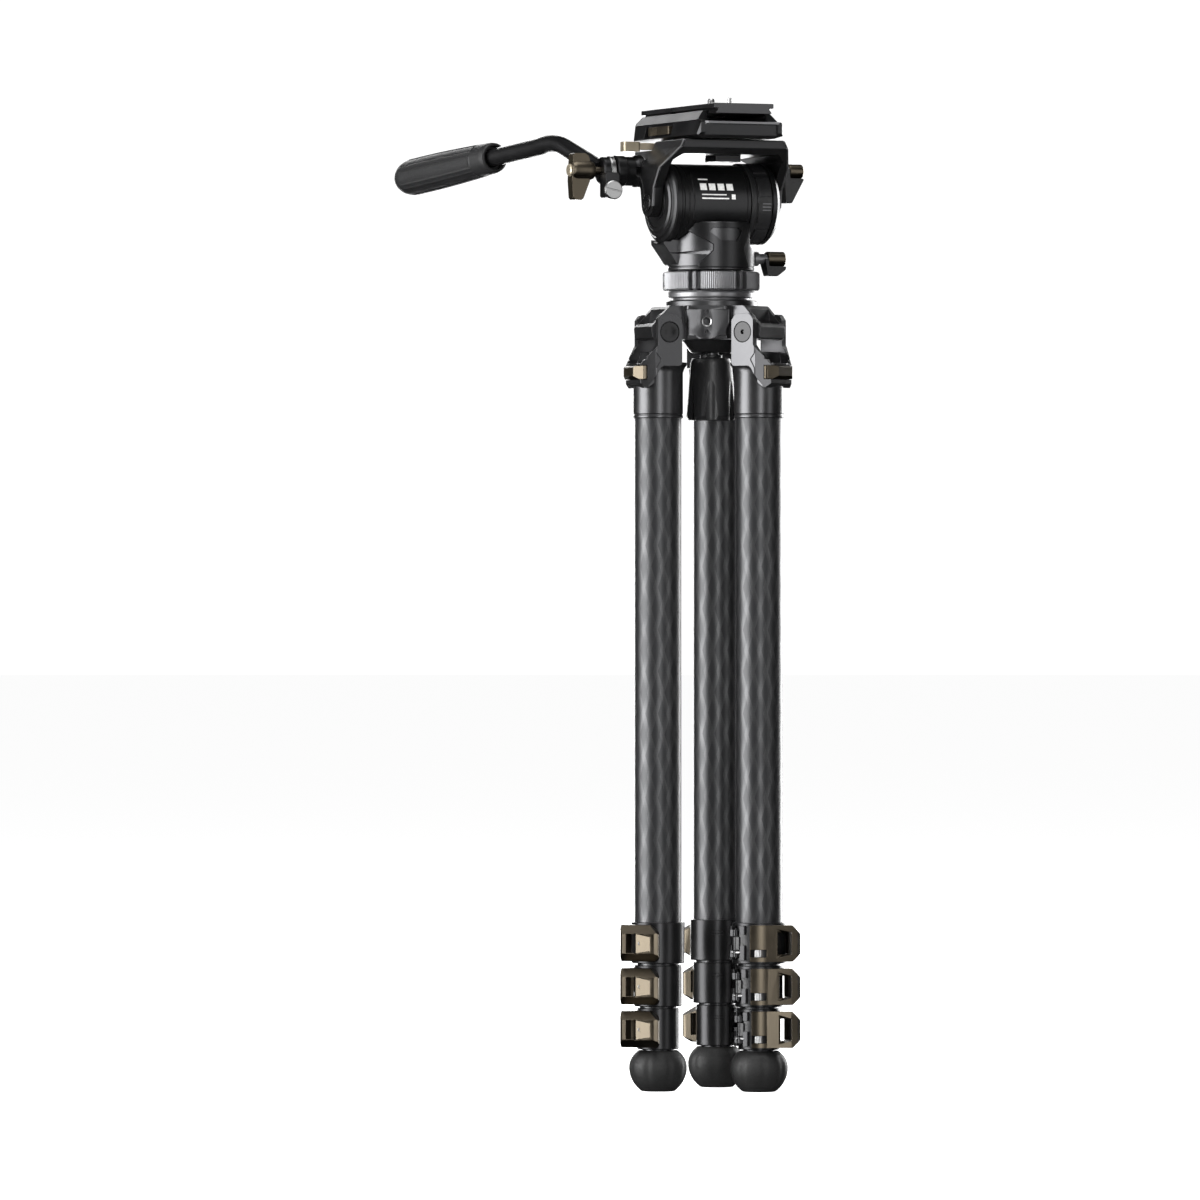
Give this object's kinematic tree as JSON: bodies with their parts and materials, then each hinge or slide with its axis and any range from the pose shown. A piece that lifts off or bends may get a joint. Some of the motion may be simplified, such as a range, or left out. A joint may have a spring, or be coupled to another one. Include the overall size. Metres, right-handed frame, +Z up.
{
  "type": "tripod with fluid head",
  "caption": "folded camera tripod with telescoping carbon legs, flip locks, levelling half ball, fluid pan and tilt head, sliding camera plate and rear pan handle",
  "frame": {"origin": "centre of the bounding box's bottom face, on the floor under the feet; the pan axis stands at x 28 mm, y -127 mm", "axes": "+Z up along the folded legs, -Y toward the lens side of the camera plate, +Y toward the pan handle's grip, +X toward the drag ring and tilt lock"},
  "size_m": [0.2098, 0.3911, 0.7622],
  "materials": {
    "black_anodised": "satin black anodised",
    "black_bolt": "black oxide",
    "bronze_anodised": "satin bronze anodised",
    "grey_anodised": "satin grey anodised, knurled",
    "bright_steel": "machined",
    "carbon_tube": "satin lacquered carbon fibre weave",
    "black_plastic": "matte moulded",
    "rubber": "matte rubber",
    "grip_rubber": "matte foam rubber"
  },
  "bodies": {
    "hub": {"hub": "black_anodised", "leg_1_pivot_bolt": "black_bolt", "leg_2_pivot_bolt": "black_bolt", "leg_3_pivot_bolt": "black_bolt"},
    "leg_1": {"leg_1_yoke": "black_anodised", "leg_1_tube_1": "carbon_tube", "leg_1_lock_body_1": "black_anodised"},
    "leg_1_tab": {"leg_1_angle_tab": "bronze_anodised"},
    "leg_1_section_2": {"leg_1_tube_2": "carbon_tube", "leg_1_lock_body_2": "black_anodised"},
    "leg_1_section_3": {"leg_1_tube_3": "carbon_tube", "leg_1_lock_body_3": "black_anodised"},
    "leg_1_section_4": {"leg_1_tube_4": "carbon_tube", "leg_1_foot": "rubber"},
    "leg_1_lever_1": {"leg_1_lock_lever_1": "bronze_anodised"},
    "leg_1_lever_2": {"leg_1_lock_lever_2": "bronze_anodised"},
    "leg_1_lever_3": {"leg_1_lock_lever_3": "bronze_anodised"},
    "leg_2": {"leg_2_yoke": "black_anodised", "leg_2_tube_1": "carbon_tube", "leg_2_lock_body_1": "black_anodised"},
    "leg_2_tab": {"leg_2_angle_tab": "bronze_anodised"},
    "leg_2_section_2": {"leg_2_tube_2": "carbon_tube", "leg_2_lock_body_2": "black_anodised"},
    "leg_2_section_3": {"leg_2_tube_3": "carbon_tube", "leg_2_lock_body_3": "black_anodised"},
    "leg_2_section_4": {"leg_2_tube_4": "carbon_tube", "leg_2_foot": "rubber"},
    "leg_2_lever_1": {"leg_2_lock_lever_1": "bronze_anodised"},
    "leg_2_lever_2": {"leg_2_lock_lever_2": "bronze_anodised"},
    "leg_2_lever_3": {"leg_2_lock_lever_3": "bronze_anodised"},
    "leg_3": {"leg_3_yoke": "black_anodised", "leg_3_tube_1": "carbon_tube", "leg_3_lock_body_1": "black_anodised"},
    "leg_3_tab": {"leg_3_angle_tab": "bronze_anodised"},
    "leg_3_section_2": {"leg_3_tube_2": "carbon_tube", "leg_3_lock_body_2": "black_anodised"},
    "leg_3_section_3": {"leg_3_tube_3": "carbon_tube", "leg_3_lock_body_3": "black_anodised"},
    "leg_3_section_4": {"leg_3_tube_4": "carbon_tube", "leg_3_foot": "rubber"},
    "leg_3_lever_1": {"leg_3_lock_lever_1": "bronze_anodised"},
    "leg_3_lever_2": {"leg_3_lock_lever_2": "bronze_anodised"},
    "leg_3_lever_3": {"leg_3_lock_lever_3": "bronze_anodised"},
    "levelling_ball": {"half_ball": "black_anodised"},
    "ball_clamp": {"clamp_handle": "black_plastic"},
    "lock_ring": {"knurled_ring": "grey_anodised"},
    "pan": {"pan_base": "black_anodised", "fluid_barrel": "black_anodised"},
    "pan_lock": {"pan_lock_lever": "bronze_anodised"},
    "drag": {"drag_ring": "black_plastic"},
    "tilt": {"tilt_bracket": "black_anodised", "quick_release_base": "black_anodised"},
    "tilt_lock": {"tilt_lock_lever": "bronze_anodised"},
    "release": {"release_lever": "bronze_anodised"},
    "button": {"release_button": "bronze_anodised"},
    "plate": {"camera_plate": "black_anodised"},
    "screw": {"camera_screw": "bright_steel"},
    "handle": {"handle_arm": "black_anodised", "handle_grip": "grip_rubber"},
    "knob": {"handle_knob": "bronze_anodised"}
  },
  "joints": [
    {"name": "leg_1_spread", "type": "hinge", "parent": "hub", "child": "leg_1", "pos_m": [-0.017, -0.127, 0.583], "axis": [0, 1, 0], "range_deg": [0, 80]},
    {"name": "leg_1_angle_release", "type": "slide", "parent": "leg_1", "child": "leg_1_tab", "axis": [-1, 0, 0], "range_m": [0, 0.004], "stiffness_N_per_m": 150, "springref_m": -0.004},
    {"name": "leg_1_slide_2", "type": "slide", "parent": "leg_1", "child": "leg_1_section_2", "axis": [0, 0, -1], "range_m": [0, 0.33]},
    {"name": "leg_1_flip_1", "type": "hinge", "parent": "leg_1", "child": "leg_1_lever_1", "pos_m": [-0.01141, -0.10459, 0.1143], "axis": [0, 0, -1], "range_deg": [0, 110]},
    {"name": "leg_1_slide_3", "type": "slide", "parent": "leg_1_section_2", "child": "leg_1_section_3", "axis": [0, 0, -1], "range_m": [0, 0.33]},
    {"name": "leg_1_flip_2", "type": "hinge", "parent": "leg_1_section_2", "child": "leg_1_lever_2", "pos_m": [-0.01194, -0.10672, 0.0811], "axis": [0, 0, -1], "range_deg": [0, 110]},
    {"name": "leg_1_slide_4", "type": "slide", "parent": "leg_1_section_3", "child": "leg_1_section_4", "axis": [0, 0, -1], "range_m": [0, 0.33]},
    {"name": "leg_1_flip_3", "type": "hinge", "parent": "leg_1_section_3", "child": "leg_1_lever_3", "pos_m": [-0.0125, -0.10895, 0.0482], "axis": [0, 0, -1], "range_deg": [0, 110]},
    {"name": "leg_2_spread", "type": "hinge", "parent": "hub", "child": "leg_2", "pos_m": [0.0505, -0.16597, 0.583], "axis": [-0.866, -0.5, 0], "range_deg": [0, 80]},
    {"name": "leg_2_angle_release", "type": "slide", "parent": "leg_2", "child": "leg_2_tab", "axis": [0.5, -0.866, 0], "range_m": [0, 0.004], "stiffness_N_per_m": 150, "springref_m": -0.004},
    {"name": "leg_2_slide_2", "type": "slide", "parent": "leg_2", "child": "leg_2_section_2", "axis": [0, 0, -1], "range_m": [0, 0.33]},
    {"name": "leg_2_flip_1", "type": "hinge", "parent": "leg_2", "child": "leg_2_lever_1", "pos_m": [0.0283, -0.17234, 0.1143], "axis": [0, 0, -1], "range_deg": [0, 110]},
    {"name": "leg_2_slide_3", "type": "slide", "parent": "leg_2_section_2", "child": "leg_2_section_3", "axis": [0, 0, -1], "range_m": [0, 0.33]},
    {"name": "leg_2_flip_2", "type": "hinge", "parent": "leg_2_section_2", "child": "leg_2_lever_2", "pos_m": [0.03041, -0.17173, 0.0811], "axis": [0, 0, -1], "range_deg": [0, 110]},
    {"name": "leg_2_slide_4", "type": "slide", "parent": "leg_2_section_3", "child": "leg_2_section_4", "axis": [0, 0, -1], "range_m": [0, 0.33]},
    {"name": "leg_2_flip_3", "type": "hinge", "parent": "leg_2_section_3", "child": "leg_2_lever_3", "pos_m": [0.03262, -0.1711, 0.0482], "axis": [0, 0, -1], "range_deg": [0, 110]},
    {"name": "leg_3_spread", "type": "hinge", "parent": "hub", "child": "leg_3", "pos_m": [0.0505, -0.08803, 0.583], "axis": [0.866, -0.5, 0], "range_deg": [0, 80]},
    {"name": "leg_3_angle_release", "type": "slide", "parent": "leg_3", "child": "leg_3_tab", "axis": [0.5, 0.866, 0], "range_m": [0, 0.004], "stiffness_N_per_m": 150, "springref_m": -0.004},
    {"name": "leg_3_slide_2", "type": "slide", "parent": "leg_3", "child": "leg_3_section_2", "axis": [0, 0, -1], "range_m": [0, 0.33]},
    {"name": "leg_3_flip_1", "type": "hinge", "parent": "leg_3", "child": "leg_3_lever_1", "pos_m": [0.06712, -0.10408, 0.1143], "axis": [0, 0, -1], "range_deg": [0, 110]},
    {"name": "leg_3_slide_3", "type": "slide", "parent": "leg_3_section_2", "child": "leg_3_section_3", "axis": [0, 0, -1], "range_m": [0, 0.33]},
    {"name": "leg_3_flip_2", "type": "hinge", "parent": "leg_3_section_2", "child": "leg_3_lever_2", "pos_m": [0.06553, -0.10255, 0.0811], "axis": [0, 0, -1], "range_deg": [0, 110]},
    {"name": "leg_3_slide_4", "type": "slide", "parent": "leg_3_section_3", "child": "leg_3_section_4", "axis": [0, 0, -1], "range_m": [0, 0.33]},
    {"name": "leg_3_flip_3", "type": "hinge", "parent": "leg_3_section_3", "child": "leg_3_lever_3", "pos_m": [0.06388, -0.10095, 0.0482], "axis": [0, 0, -1], "range_deg": [0, 110]},
    {"name": "bowl_level", "type": "hinge", "parent": "hub", "child": "levelling_ball", "pos_m": [0.028, -0.127, 0.612], "axis": [1, 0, 0], "range_deg": [-2.5, 2.5]},
    {"name": "ball_clamp_turn", "type": "hinge", "parent": "levelling_ball", "child": "ball_clamp", "pos_m": [0.028, -0.127, 0.54], "axis": [0, 0, 1], "continuous": true},
    {"name": "lock_ring_turn", "type": "hinge", "parent": "levelling_ball", "child": "lock_ring", "pos_m": [0.028, -0.127, 0.623], "axis": [0, 0, 1], "continuous": true},
    {"name": "head_pan", "type": "hinge", "parent": "levelling_ball", "child": "pan", "pos_m": [0.028, -0.127, 0.64], "axis": [0, 0, 1], "continuous": true},
    {"name": "pan_lock_turn", "type": "hinge", "parent": "pan", "child": "pan_lock", "pos_m": [0.076, -0.127, 0.641], "axis": [1, 0, 0], "range_deg": [-50, 50]},
    {"name": "drag_ring_turn", "type": "hinge", "parent": "pan", "child": "drag", "pos_m": [0.058, -0.127, 0.683], "axis": [1, 0, 0], "range_deg": [0, 300]},
    {"name": "head_tilt", "type": "hinge", "parent": "pan", "child": "tilt", "pos_m": [0.028, -0.127, 0.683], "axis": [1, 0, 0], "range_deg": [-60, 85]},
    {"name": "tilt_lock_turn", "type": "hinge", "parent": "tilt", "child": "tilt_lock", "pos_m": [0.094, -0.127, 0.709], "axis": [1, 0, 0], "range_deg": [-60, 60]},
    {"name": "release_lever_turn", "type": "hinge", "parent": "tilt", "child": "release", "pos_m": [-0.003, -0.107, 0.727], "axis": [0, 0, -1], "range_deg": [0, 35]},
    {"name": "release_button_press", "type": "slide", "parent": "tilt", "child": "button", "axis": [-1, 0, 0], "range_m": [0, 0.0015], "stiffness_N_per_m": 200, "springref_m": -0.003},
    {"name": "plate_slide", "type": "slide", "parent": "tilt", "child": "plate", "axis": [0, 1, 0], "range_m": [-0.03, 0.03]},
    {"name": "camera_screw_turn", "type": "hinge", "parent": "plate", "child": "screw", "pos_m": [0.028, -0.127, 0.755], "axis": [0, 0, 1], "continuous": true},
    {"name": "handle_angle", "type": "hinge", "parent": "tilt", "child": "handle", "pos_m": [-0.05, -0.102, 0.708], "axis": [1, 0, 0], "range_deg": [-60, 60]},
    {"name": "handle_knob_turn", "type": "hinge", "parent": "handle", "child": "knob", "pos_m": [-0.07, -0.102, 0.708], "axis": [1, 0, 0], "continuous": true}
  ]
}
